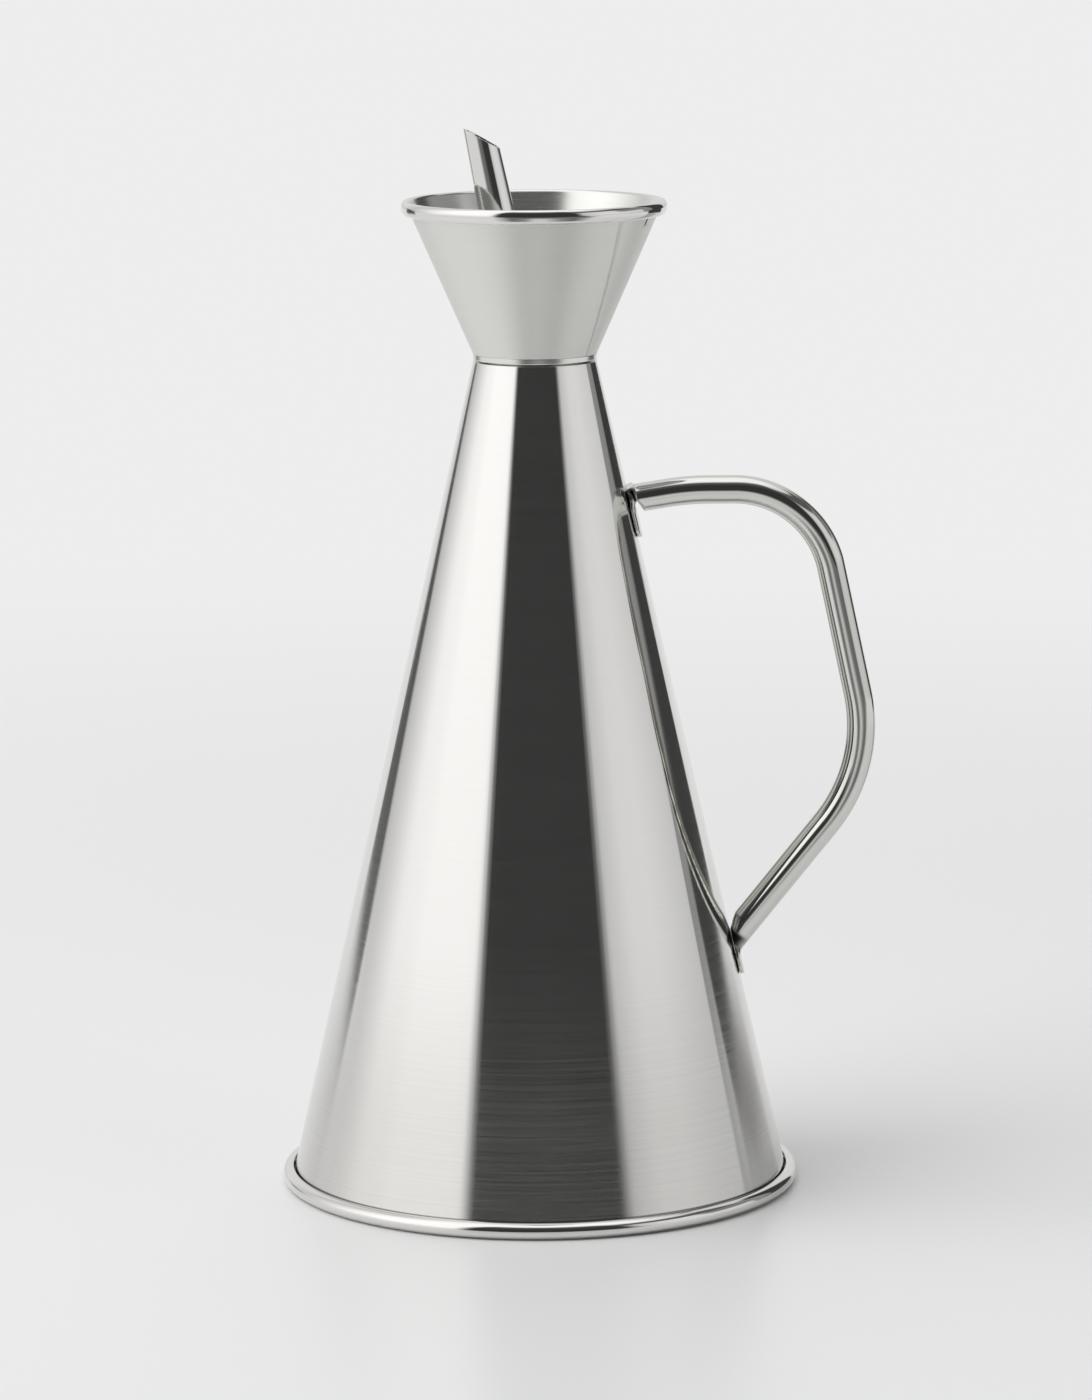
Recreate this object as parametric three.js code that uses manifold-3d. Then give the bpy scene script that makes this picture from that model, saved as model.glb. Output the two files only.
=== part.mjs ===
// Oil and vinegar jug in sheet steel: a cone on a seamed base, a bent tube handle and a lift-off funnel
// that carries the pouring tube. Millimetres and degrees, +Z up, the origin on the axis at the table.
// The handle is on the +X side and the pouring tube leans towards -X.
import * as THREE from 'three';
import { mergeVertices } from 'three/addons/utils/BufferGeometryUtils.js';
import Module from 'manifold-3d';

const wasm = await Module();
wasm.setup();

// Sheet and fits
const SHEET = 0.6; // wall of the rolled and pressed pieces
const SEAT_GAP = 0.3; // between pieces that are welded, seamed or seated together
const PLUG_PLAY = 0.3; // round the plug in the neck, so that it lifts and turns
const ROLL_BORE = 1.15; // inside radius of the base seam and of the funnel's rolled rim

// Body and base
const BODY_HEIGHT = 175.5; // table to the cone's mouth
const BODY_FOOT_RADIUS = 53; // outside of the cone's slope, carried down to the table
const BODY_MOUTH_RADIUS = 13; // outside of the cone at its mouth
const RIB_RADIUS = 36; // middle of the stiffening rib pressed into the base
const RIB_WIDTH = 8;
const RIB_RISE = 1;

// Neck and plug
const NECK_DEPTH = 14; // sleeve inside the cone's mouth
const COLLAR_DEPTH = 12; // plug below the cone's mouth

// Funnel
const FUNNEL_HEIGHT = 30.6; // foot of the wall to the middle of the rolled rim
const FUNNEL_RIM_RADIUS = 27.8; // outside of the rolled rim
const FUNNEL_STEP = 0.15; // flange left showing round the funnel's foot
const ROLL_SLIT = 0.7; // opening left where the rim's roll comes back to the wall
const FLOOR_SHEET = 0.8;
const DRAIN_DIAMETER = 4;

// Pouring tube
const SPOUT_LENGTH = 45.7; // along its axis, from the funnel's floor to the middle of the bevel
const SPOUT_TAIL = 5; // along its axis, below the funnel's floor
const SPOUT_FOOT_DIAMETER = 9; // outside, at the floor
const SPOUT_TIP_DIAMETER = 6.7; // outside, at the middle of the bevel
const SPOUT_WALL = 0.5;
const SPOUT_LEAN = 11.3; // from upright, away from the handle
const SPOUT_BEVEL = 39.5; // of the cut, from square
const SPOUT_OFFSET = 1.9; // from the jug's axis at the floor, away from the handle

// Handle, measured along the outside of its loop
const HANDLE_DIAMETER = 6;
const HANDLE_WALL = 0.45;
const HANDLE_DROP = 26.9; // cone's mouth down to the upper joint
const HANDLE_ARCH_RUN = 12.6; // cone to the corner where the top run levels out
const HANDLE_ARCH_BEND = 60;
const HANDLE_TOP_RUN = 42; // cone to the upper bend's corner
const HANDLE_TOP_RISE = 2.4; // upper joint to the level top run
const HANDLE_TOP_BEND = 24;
const HANDLE_LOW_JOINT = 49; // table to the lower joint
const HANDLE_LOW_RUN = 32.5; // cone to the lower bend's corner
const HANDLE_LOW_RISE = 39.1; // lower joint to the lower bend's corner
const HANDLE_LOW_BEND = 37;
const TONGUE_UPPER = 11; // length of the flat end welded to the cone
const TONGUE_LOWER = 4.8;
const TONGUE_BEND = 1.3;
const TONGUE_SLIT = 0.1; // left between the walls of the flattened tube
const FLATTEN_UPPER = 2; // length over which the round tube goes flat
const FLATTEN_LOWER = 4.5;
const FLATTEN_SQUARING = 0.6; // 0 leaves the flat end oval, 1 makes its faces plane

// Fineness of the facets
const ROUND_STEPS = 48;
const SPOUT_STEPS = 24;
const HANDLE_SIDES = 12;
const ARC_STEPS = 5;
const BEND_STEPS = 7;
const FLATTEN_STEPS = 4;
const MERGE_DISTANCE = 1e-4; // within which corners of neighbouring facets are one

const polished = new THREE.MeshStandardMaterial({ color: 0xcac8c3, metalness: 1, roughness: 0.12 });
const satin = new THREE.MeshStandardMaterial({ color: 0xb8b9b2, metalness: 1, roughness: 0.38 });

const { degToRad, lerp, smoothstep } = THREE.MathUtils;

// Cone's slope, and its radii at a height
const bodySlope = (BODY_FOOT_RADIUS - BODY_MOUTH_RADIUS) / BODY_HEIGHT;
const bodyLean = Math.atan(bodySlope);
const bodyOutside = (z) => BODY_FOOT_RADIUS - bodySlope * z;
const bodyInside = (z) => bodyOutside(z) - SHEET / Math.cos(bodyLean);

// The roll that the base seam and the funnel's rim share
const rollRadius = ROLL_BORE + SHEET;
const seamRadius = bodyOutside(rollRadius) + SHEET;

// Neck sleeve, plug in it and flange on the cone's mouth
const neckOutside = bodyInside(BODY_HEIGHT) - SEAT_GAP;
const neckBore = neckOutside - SHEET;
const collarOutside = neckBore - PLUG_PLAY;
const collarBore = collarOutside - SHEET;
const flangeLow = BODY_HEIGHT + SEAT_GAP;
const flangeHigh = flangeLow + SHEET;

// Funnel, with heights from its foot, which stands on the flange
const funnelFoot = flangeHigh + SEAT_GAP;
const rimMiddle = FUNNEL_RIM_RADIUS - rollRadius;
const footOutside = BODY_MOUTH_RADIUS - FUNNEL_STEP;
const footRun = rimMiddle - footOutside;
const wallLength = Math.hypot(footRun, FUNNEL_HEIGHT);
const funnelFlare = Math.atan2(footRun, FUNNEL_HEIGHT) + Math.asin(SHEET / 2 / wallLength);
const footInside = footOutside - SHEET / Math.cos(funnelFlare);
const floorMiddle = FLOOR_SHEET / 2;

const tongueThickness = 2 * HANDLE_WALL + TONGUE_SLIT;
const tongueWidth = (Math.PI * (HANDLE_DIAMETER - HANDLE_WALL)) / 2 + HANDLE_WALL;

// A piece turned round the Z axis. Its outline gives radius and height and runs anticlockwise.
function turned(outline, steps = ROUND_STEPS) {
  return new THREE.LatheGeometry(outline.getPoints(ARC_STEPS), steps).rotateX(Math.PI / 2);
}

function outlineOf(corners) {
  const points = corners.map(([radius, height]) => new THREE.Vector2(radius, height));
  return new THREE.Path().setFromPoints(points);
}

function ring(corners, steps) {
  return turned(outlineOf([...corners, corners[0]]), steps);
}

function solidOf(geometry) {
  const bare = geometry.clone().deleteAttribute('normal').deleteAttribute('uv');
  const merged = mergeVertices(bare, MERGE_DISTANCE);
  const vertProperties = new Float32Array(merged.attributes.position.array);
  const triVerts = new Uint32Array(merged.index.array);
  return new wasm.Manifold(new wasm.Mesh({ numProp: 3, vertProperties, triVerts }));
}

function geometryOf(solid) {
  const { vertProperties, triVerts } = solid.getMesh();
  const geometry = new THREE.BufferGeometry();
  geometry.setAttribute('position', new THREE.BufferAttribute(vertProperties, 3));
  geometry.setIndex(new THREE.BufferAttribute(triVerts, 1));
  geometry.computeVertexNormals();
  return geometry;
}

// Cone with a small turned-out foot, which the base seam grips
function bodyCone() {
  const low = SHEET + SEAT_GAP;
  const footTop = low + SHEET;
  return ring([
    [bodyInside(low), low],
    [seamRadius, low],
    [seamRadius, footTop],
    [bodyOutside(footTop), footTop],
    [BODY_MOUTH_RADIUS, BODY_HEIGHT],
    [bodyInside(BODY_HEIGHT), BODY_HEIGHT],
  ]);
}

// Flat base with a pressed rib. Its edge rolls up and over the cone's foot and ends against the cone.
function baseDisc() {
  const ribIn = RIB_RADIUS - RIB_WIDTH / 2;
  const ribOut = RIB_RADIUS + RIB_WIDTH / 2;
  const coneToMiddle = SHEET * Math.cos(bodyLean);
  const lipAngle = bodyLean + Math.acos((SEAT_GAP - coneToMiddle) / rollRadius);
  const outline = outlineOf([
    [0, 0],
    [ribIn, 0],
    [ribIn + RIB_RISE, RIB_RISE],
    [ribOut - RIB_RISE, RIB_RISE],
    [ribOut, 0],
  ]);
  outline.absarc(seamRadius, rollRadius, rollRadius, -Math.PI / 2, lipAngle, false);
  outline.absarc(seamRadius, rollRadius, ROLL_BORE, lipAngle, -Math.PI / 2, true);
  outline.lineTo(ribOut, SHEET);
  outline.lineTo(ribOut - RIB_RISE, SHEET + RIB_RISE);
  outline.lineTo(ribIn + RIB_RISE, SHEET + RIB_RISE);
  outline.lineTo(ribIn, SHEET);
  outline.lineTo(0, SHEET);
  return turned(outline);
}

function neckRing() {
  const low = BODY_HEIGHT - NECK_DEPTH;
  return ring([
    [neckBore, low],
    [neckOutside, low],
    [neckOutside, BODY_HEIGHT],
    [neckBore, BODY_HEIGHT],
  ]);
}

function plugCollar() {
  const low = BODY_HEIGHT - COLLAR_DEPTH;
  return ring([
    [collarBore, low],
    [collarOutside, low],
    [collarOutside, flangeLow],
    [BODY_MOUTH_RADIUS, flangeLow],
    [BODY_MOUTH_RADIUS, flangeHigh],
    [collarBore, flangeHigh],
  ]);
}

// Funnel wall whose top edge rolls inward, over and out, round a bead centred on the wall
function funnelCup() {
  const downWall = -Math.PI / 2 - funnelFlare;
  const halfWall = SHEET / 2;
  const boreMeetsWall = downWall + Math.asin(halfWall / ROLL_BORE);
  const outsideMeetsWall = Math.asin(halfWall / rollRadius);
  const rollEnd = downWall + outsideMeetsWall + ROLL_SLIT / rollRadius;
  const outline = outlineOf([
    [footInside, 0],
    [footOutside, 0],
  ]);
  outline.absarc(rimMiddle, FUNNEL_HEIGHT, ROLL_BORE, boreMeetsWall, rollEnd, true);
  outline.absarc(rimMiddle, FUNNEL_HEIGHT, rollRadius, rollEnd, downWall - outsideMeetsWall, false);
  outline.closePath();
  return turned(outline);
}

// Pouring tube along its own axis, standing on the funnel's floor; the bevel is high on the pouring side
const spoutRadius = (along) =>
  lerp(SPOUT_FOOT_DIAMETER, SPOUT_TIP_DIAMETER, along / SPOUT_LENGTH) / 2;

function spoutTube() {
  const top = SPOUT_LENGTH + SPOUT_FOOT_DIAMETER;
  const tube = ring(
    [
      [spoutRadius(-SPOUT_TAIL) - SPOUT_WALL, -SPOUT_TAIL],
      [spoutRadius(-SPOUT_TAIL), -SPOUT_TAIL],
      [spoutRadius(top), top],
      [spoutRadius(top) - SPOUT_WALL, top],
    ],
    SPOUT_STEPS,
  );
  const offcut = new THREE.BoxGeometry(top, top, top)
    .translate(0, 0, top / 2)
    .rotateY(degToRad(SPOUT_BEVEL))
    .translate(0, 0, SPOUT_LENGTH);
  return geometryOf(solidOf(tube).subtract(solidOf(offcut)));
}

// Floor disc with the pouring tube's slanted hole and the drain beside it
function funnelFloor(spoutPlace) {
  const radius = footInside - SEAT_GAP;
  const disc = new THREE.CylinderGeometry(radius, radius, FLOOR_SHEET, ROUND_STEPS)
    .rotateX(Math.PI / 2)
    .translate(0, 0, floorMiddle);
  const reach = 2 * SPOUT_TAIL;
  const spoutHole = new THREE.CylinderGeometry(
    spoutRadius(reach) + SEAT_GAP,
    spoutRadius(-reach) + SEAT_GAP,
    2 * reach,
    SPOUT_STEPS,
  )
    .rotateX(Math.PI / 2)
    .applyMatrix4(spoutPlace);
  const spoutHoleEdge = SPOUT_FOOT_DIAMETER / 2 + SEAT_GAP - SPOUT_OFFSET;
  const drain = new THREE.CylinderGeometry(DRAIN_DIAMETER / 2, DRAIN_DIAMETER / 2, 2 * reach, SPOUT_STEPS)
    .rotateX(Math.PI / 2)
    .translate((spoutHoleEdge + collarBore) / 2, 0, floorMiddle);
  return geometryOf(solidOf(disc).subtract(solidOf(spoutHole)).subtract(solidOf(drain)));
}

// Line through corners as runs and bends in turn. Bends tighten where a run is too short for the two at
// its ends.
function bentLine(corners, bends) {
  const runs = corners.slice(1).map((corner, index) => corner.clone().sub(corners[index]));
  const halfTurns = bends.map((_, index) => runs[index].angleTo(runs[index + 1]) / 2);
  const wanted = [0, ...bends.map((bend, index) => bend * Math.tan(halfTurns[index])), 0];
  const room = runs.map((run, index) => Math.min(1, run.length() / (wanted[index] + wanted[index + 1])));
  const line = new THREE.CurvePath();
  let runStart = corners[0];
  bends.forEach((_, index) => {
    const corner = corners[index + 1];
    const setback = wanted[index + 1] * Math.min(room[index], room[index + 1]);
    const radius = setback / Math.tan(halfTurns[index]);
    const arriving = runs[index].clone().normalize();
    const leaving = runs[index + 1].clone().normalize();
    const inward = leaving.clone().sub(arriving).setLength(radius / Math.cos(halfTurns[index]));
    const middle = corner.clone().add(inward);
    const start = corner.clone().addScaledVector(arriving, -setback);
    const end = corner.clone().addScaledVector(leaving, setback);
    const startAngle = start.clone().sub(middle).angle();
    const endAngle = end.clone().sub(middle).angle();
    const clockwise = arriving.cross(leaving) < 0;
    line.add(new THREE.LineCurve(runStart, start));
    line.add(new THREE.EllipseCurve(middle.x, middle.y, radius, radius, startAngle, endAngle, clockwise));
    runStart = end;
  });
  line.add(new THREE.LineCurve(runStart, corners[corners.length - 1]));
  return line;
}

// Outside of the handle's loop in the XZ plane, from the end of the upper tongue to that of the lower
function handleLine() {
  const upperJoint = BODY_HEIGHT - HANDLE_DROP;
  const upperOff = SEAT_GAP / Math.cos(bodyLean);
  const lowerOff = (SEAT_GAP + tongueThickness) / Math.cos(bodyLean);
  const offCone = (z, run, rise = 0) => new THREE.Vector2(bodyOutside(z) + run, z + rise);
  const corners = [
    offCone(upperJoint - TONGUE_UPPER * Math.cos(bodyLean), upperOff),
    offCone(upperJoint, upperOff),
    offCone(upperJoint, HANDLE_ARCH_RUN, HANDLE_TOP_RISE),
    offCone(upperJoint, HANDLE_TOP_RUN, HANDLE_TOP_RISE),
    offCone(HANDLE_LOW_JOINT, HANDLE_LOW_RUN, HANDLE_LOW_RISE),
    offCone(HANDLE_LOW_JOINT, lowerOff),
    offCone(HANDLE_LOW_JOINT - TONGUE_LOWER * Math.cos(bodyLean), lowerOff),
  ];
  const bends = [TONGUE_BEND, HANDLE_ARCH_BEND, HANDLE_TOP_BEND, HANDLE_LOW_BEND, TONGUE_BEND];
  return bentLine(corners, bends);
}

// Places along the handle's line where it gets a section: run ends, steps round bends and steps of the
// flattening beside each tongue
function handleStations(line) {
  const ends = [0, ...line.getCurveLengths()];
  const last = ends.length - 1;
  const upper = { tongue: ends[1], flat: ends[2], round: ends[2] + FLATTEN_UPPER };
  const lower = { tongue: ends[last - 1], flat: ends[last - 2], round: ends[last - 2] - FLATTEN_LOWER };
  const marks = [...ends];
  line.curves.forEach((curve, index) => {
    const steps = curve.isEllipseCurve ? BEND_STEPS : 1;
    for (let step = 1; step < steps; step += 1) {
      marks.push(lerp(ends[index], ends[index + 1], step / steps));
    }
  });
  for (let step = 1; step <= FLATTEN_STEPS; step += 1) {
    marks.push(lerp(upper.flat, upper.round, step / FLATTEN_STEPS));
    marks.push(lerp(lower.flat, lower.round, step / FLATTEN_STEPS));
  }
  const total = ends[last];
  return marks
    .sort((one, other) => one - other)
    .map((mark) => {
      const along = Math.min(mark / total, 1);
      const upperFlat = 1 - smoothstep(mark, upper.flat, upper.round);
      const lowerFlat = smoothstep(mark, lower.round, lower.flat);
      const upperHug = 1 - smoothstep(mark, upper.tongue, upper.flat);
      const lowerHug = smoothstep(mark, lower.flat, lower.tongue);
      return {
        place: line.getPoint(along),
        heading: line.getTangent(along),
        flat: Math.max(upperFlat, lowerFlat),
        hug: upperHug - lowerHug,
      };
    });
}

// One loop of the handle's section, hung from the outside of the handle's loop, set in by a wall. The
// flat tongues curve round the cone.
function handleLoop({ place, heading, flat, hug }, setIn) {
  const halfWidth = lerp(HANDLE_DIAMETER, tongueWidth, flat) / 2;
  const halfDepth = lerp(HANDLE_DIAMETER, tongueThickness, flat) / 2;
  const outward = new THREE.Vector2(-heading.y, heading.x);
  return Array.from({ length: HANDLE_SIDES }, (_, side) => {
    const angle = (2 * Math.PI * side) / HANDLE_SIDES;
    const sine = Math.sin(angle);
    const across = (halfWidth - setIn) * Math.cos(angle);
    const rounded = Math.sign(sine) * Math.abs(sine) ** (1 - FLATTEN_SQUARING * flat);
    const curl = (hug * across ** 2) / (2 * bodyOutside(place.y));
    const out = (halfDepth - setIn) * rounded - halfDepth + curl;
    const point = place.clone().addScaledVector(outward, out);
    return new THREE.Vector3(point.x, across, point.y);
  });
}

// Tube wall between outer and inner loops, open at both ends
function tubeWall(outerLoops, innerLoops) {
  const rounds = [...outerLoops, ...[...innerLoops].reverse()];
  const sides = rounds[0].length;
  const corner = (round, side) => (round % rounds.length) * sides + (side % sides);
  const index = [];
  for (let round = 0; round < rounds.length; round += 1) {
    for (let side = 0; side < sides; side += 1) {
      index.push(corner(round, side), corner(round + 1, side + 1), corner(round + 1, side));
      index.push(corner(round, side), corner(round, side + 1), corner(round + 1, side + 1));
    }
  }
  const geometry = new THREE.BufferGeometry().setFromPoints(rounds.flat());
  geometry.setIndex(index);
  geometry.computeVertexNormals();
  return geometry;
}

function handleTube() {
  const stations = handleStations(handleLine());
  const outerLoops = stations.map((station) => handleLoop(station, 0));
  const innerLoops = stations.map((station) => handleLoop(station, HANDLE_WALL));
  return tubeWall(outerLoops, innerLoops);
}

function piece(name, geometry, material) {
  const mesh = new THREE.Mesh(geometry, material);
  mesh.name = name;
  return mesh;
}

const spout = piece('spout_tube', spoutTube(), polished);
spout.position.set(-SPOUT_OFFSET, 0, floorMiddle);
spout.rotation.y = -degToRad(SPOUT_LEAN);
spout.updateMatrix();

const funnel = new THREE.Group();
funnel.position.z = funnelFoot;
funnel.add(
  piece('funnel_cup', funnelCup(), satin),
  piece('funnel_floor', funnelFloor(spout.matrix), satin),
  spout,
);

const jug = new THREE.Group();
jug.add(
  piece('body_cone', bodyCone(), polished),
  piece('base_disc', baseDisc(), polished),
  piece('neck_ring', neckRing(), satin),
  piece('handle_tube', handleTube(), polished),
  piece('plug_collar', plugCollar(), satin),
  funnel,
);

export default jug;
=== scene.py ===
"""Looks of a conical oil and vinegar jug in sheet steel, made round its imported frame.

Sizes here are millimetres and degrees, and meshes are made in metres. The frame's axes hold: +Z is up, the
handle is towards +X, and the photograph looks along +Y.
"""

import math

import bpy
from mathutils import Matrix, Vector


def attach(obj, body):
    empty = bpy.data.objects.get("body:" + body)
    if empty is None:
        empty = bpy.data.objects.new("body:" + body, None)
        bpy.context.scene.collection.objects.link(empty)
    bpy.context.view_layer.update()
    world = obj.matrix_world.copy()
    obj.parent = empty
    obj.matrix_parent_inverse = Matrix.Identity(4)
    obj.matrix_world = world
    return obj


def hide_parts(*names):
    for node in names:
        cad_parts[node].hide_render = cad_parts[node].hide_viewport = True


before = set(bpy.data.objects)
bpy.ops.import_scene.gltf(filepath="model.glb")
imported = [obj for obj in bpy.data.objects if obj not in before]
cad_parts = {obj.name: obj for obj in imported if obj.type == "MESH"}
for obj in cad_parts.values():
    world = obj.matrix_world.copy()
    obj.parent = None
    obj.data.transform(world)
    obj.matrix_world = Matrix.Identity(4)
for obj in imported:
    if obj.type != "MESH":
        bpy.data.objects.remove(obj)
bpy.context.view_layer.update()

MM = 0.001

# Sheet and seams
SHEET = 0.6
ROLL_BORE = 1.15  # inside of the base seam
ROLL_RADIUS = ROLL_BORE + SHEET
CUT_EDGE = 0.12  # rounding of a cut edge
WELD_GAP = 0.04  # between pieces that are welded together
SEAM_GAP = 0.32  # between the base's rolled edge and the cone

# Body and base
BODY_HEIGHT = 175.5
BODY_FOOT_RADIUS = 53.0  # the cone's slope, carried down to the table
BODY_MOUTH_RADIUS = 13.0
RIB_RADIUS = 36.0
RIB_WIDTH = 8.0
RIB_RISE = 1.0
RIB_FILLET = 1.2

# Neck and plug
NECK_DEPTH = 14.0
COLLAR_DEPTH = 12.0
PLUG_PLAY = 0.3
MOUTH_GAP = 0.3  # dark line left between the flange and the cone's mouth
FLANGE_HEIGHT = 1.18  # of its turned-up edge
FLANGE_EDGE = 0.75  # width of that edge

# Funnel
FUNNEL_FOOT = 177.0
FUNNEL_FOOT_RADIUS = 12.98
FUNNEL_FLARE = 23.85
RIM_HEIGHT = 207.55  # of the middle of the roll
RIM_RADIUS = 27.8
RIM_HALF_WIDTH = 0.9  # of the roll, which is higher than it is wide
RIM_HALF_HEIGHT = 1.5
RIM_END = -132.0  # where the roll comes back to the wall, round its own middle
RIM_POLISH_WIDTH = 1.44  # of the polished band, in from the outside of the roll
FOOT_FILLET = 0.06

# Pouring tube
SPOUT_LENGTH = 45.7
SPOUT_TAIL = 5.0
SPOUT_FOOT_DIAMETER = 9.0
SPOUT_TIP_DIAMETER = 6.7
SPOUT_WALL = 0.5
SPOUT_LEAN = 11.3
SPOUT_BEVEL = 39.5
BEVEL_FROM = 0.5  # share of the length where the tube starts to be sheared for its bevel
BEVEL_FULL = 0.8
SPOUT_OFFSET = 1.9
SPOUT_FOOT_HEIGHT = 177.1

# Handle, measured along the outside of its loop
HANDLE_DIAMETER = 6.0
HANDLE_WALL = 0.45
HANDLE_DROP = 26.5
HANDLE_ARCH_RUN = 12.6
HANDLE_ARCH_BEND = 60.0
HANDLE_TOP_RUN = 42.0
HANDLE_TOP_RISE = 2.0
HANDLE_TOP_BEND = 24.0
HANDLE_LOW_JOINT = 49.0
HANDLE_LOW_RUN = 32.5
HANDLE_LOW_RISE = 39.1
HANDLE_LOW_BEND = 37.0
TONGUE_UPPER = 11.4
TONGUE_LOWER = 4.8
TONGUE_BEND_UPPER = 1.05
TONGUE_BEND_LOWER = 1.3
TONGUE_THICKNESS = 1.0
TONGUE_ROUND = 2.2  # length over which a tongue's end is rounded off
UPPER_PRESS_DEPTH = 3.3  # of the pressed tube just after the upper tongue's bend
UPPER_PRESS_STEP = 0.15  # length over which the tongue opens to that depth
UPPER_PRESS_LENGTH = 1.7  # and the length from there to the round tube
UPPER_LAP = 0.4  # how much thicker the upper tongue is where the pressed tube folds onto it
UPPER_LAP_LENGTH = 3.6
UPPER_LAP_RISE = 1.44
UPPER_LAP_FALL = 0.5
PRESS_GAP = 2.5  # from the cone to the tube's inner side, where the tube starts to be pressed
PRESS_OPEN = 8.5  # room between the tube's line and the cone at that place
PRESS_CLOSE = 4.5  # and where the tube's inner side meets the cone
PRESS_EASE = 0.6
PRESS_FLOOR = 0.3  # least depth of the pressed side, under the side that stays round
ROUND_SIDE_FROM = 1.3  # depth from which one side of a pressed tube starts to stay round
ROUND_SIDE_FULL = 2.5
FLATTEN_SQUARING = 0.6
WIDENING_POWER = 3  # a tube widens late while it is pressed flat
UPPER_PINCH_DOWN = 2.2  # length of the painted shade at the upper pinch, down the upper tongue
UPPER_PINCH_ALONG = 1.0  # and along the tube
UPPER_PINCH_FADE = 0.8
UPPER_PINCH_SHADE = 0.9
LOWER_PINCH = 1.2  # middle of the lower painted pinch shade, before the start of the lower bend
LOWER_PINCH_LENGTH = 1.8
LOWER_PINCH_FADE = 1.08
PINCH_SHADE_FROM = 1.2  # where the painted pinch shade starts round the tube, which is 1 at its outer side and -1 at its inner side
PINCH_SHADE_FULL = 0.2
WELD_MARK_RADIUS = 1.3
WELD_MARK_DEPTH = 0.14
WELD_MARKS_UPPER = (4.2, 7.8)  # down the upper tongue
WELD_MARKS_LOWER = (2.6,)

# Fineness
TURN_STEPS = 256
SPOUT_STEPS = 96
HANDLE_SIDES = 48
STATION_STEP = 0.35
ARC_STEP = 6.0  # degrees
EASE = 0.15  # straight stretch beside a rounding, which keeps long faces evenly lit
FILLET_SHARE = 0.45  # most of an edge that one fillet takes
MERGE_DISTANCE = 1e-7  # metres

# Camera, fitted to the photograph of 1092 by 1400 pixels
PHOTO_HEIGHT = 1400
FOCAL_PIXELS = 5758
SENSOR = 36.0
CAMERA_PLACE = (0.0, -1200.0, 306.5)
CAMERA_PITCH = 9.61
CAMERA_YAW = -0.09
CAMERA_ROLL = -0.33

body_slope = (BODY_FOOT_RADIUS - BODY_MOUTH_RADIUS) / BODY_HEIGHT
body_lean = math.atan(body_slope)
seam_radius = BODY_FOOT_RADIUS - body_slope * ROLL_RADIUS + SHEET
tongue_width = math.pi * (HANDLE_DIAMETER - HANDLE_WALL) / 2 + HANDLE_WALL


def body_outside(height):
    return BODY_FOOT_RADIUS - body_slope * height


def body_inside(height):
    return body_outside(height) - SHEET / math.cos(body_lean)


# Node trees


def pick(sockets, name):
    """The socket at that number, or the one of that name that is in use."""
    if isinstance(name, int):
        return sockets[name]
    return next(socket for socket in sockets if socket.name == name and socket.enabled)


def feed(tree, socket, value):
    if isinstance(value, bpy.types.NodeSocket):
        tree.links.new(value, socket)
    else:
        socket.default_value = value


def add(tree, kind, feeds=None, out=0, **fields):
    """Adds a node with its fields set and its inputs fed, and gives one of its outputs."""
    node = tree.nodes.new(kind)
    for field, value in fields.items():
        setattr(node, field, value)
    for name, value in (feeds or {}).items():
        feed(tree, pick(node.inputs, name), value)
    return pick(node.outputs, out)


def calc(tree, operation, *values):
    return add(tree, "ShaderNodeMath", dict(enumerate(values)), operation=operation)


def product(tree, first, *others):
    """All the values multiplied together."""
    for other in others:
        first = calc(tree, "MULTIPLY", first, other)
    return first


def length_of(tree, x, y):
    return calc(tree, "SQRT", calc(tree, "ADD", product(tree, x, x), product(tree, y, y)))


def azimuth_of(tree, x, y):
    """Degrees from the photograph's side towards the handle."""
    return calc(tree, "DEGREES", calc(tree, "ARCTAN2", x, product(tree, y, -1)))


def blend_of(tree, factor, low, high):
    """low where factor is 0 and high where it is 1."""
    return add(tree, "ShaderNodeMapRange", {"Value": factor, "To Min": low, "To Max": high})


def rise(tree, value, start, end):
    """A smooth step from 0 at start to 1 at end."""
    feeds = {"Value": value, "From Min": start, "From Max": end}
    return add(tree, "ShaderNodeMapRange", feeds, interpolation_type="SMOOTHSTEP")


def parts_of(tree, vector):
    return add(tree, "ShaderNodeSeparateXYZ", {"Vector": vector}).node.outputs


def joined(tree, x, y, z):
    return add(tree, "ShaderNodeCombineXYZ", {"X": x, "Y": y, "Z": z})


# Geometry trees


def new_tree(name, inputs):
    """A geometry tree with named inputs, and its input sockets by name."""
    tree = bpy.data.node_groups.new(name, "GeometryNodeTree")
    tree.interface.new_socket("Geometry", in_out="INPUT", socket_type="NodeSocketGeometry")
    for label, kind in inputs.items():
        tree.interface.new_socket(label, in_out="INPUT", socket_type="NodeSocket" + kind)
    tree.interface.new_socket("Geometry", in_out="OUTPUT", socket_type="NodeSocketGeometry")
    given = tree.nodes.new("NodeGroupInput")
    return tree, {socket.name: socket for socket in given.outputs if socket.name}


def end_tree(tree, geometry, finishes):
    """Ends a tree. Each finish comes with the faces that it covers, and covers those before it."""
    merged = add(tree, "GeometryNodeMergeByDistance", {"Geometry": geometry, "Distance": MERGE_DISTANCE})
    smooth = add(tree, "GeometryNodeSetShadeSmooth", {"Geometry": merged})
    finished = add(tree, "GeometryNodeRealizeInstances", {"Geometry": smooth})
    for finish, faces in finishes:
        feeds = {"Geometry": finished, "Selection": faces, "Material": finish}
        finished = add(tree, "GeometryNodeSetMaterial", feeds)
    output = tree.nodes.new("NodeGroupOutput")
    tree.links.new(finished, output.inputs[0])


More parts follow.
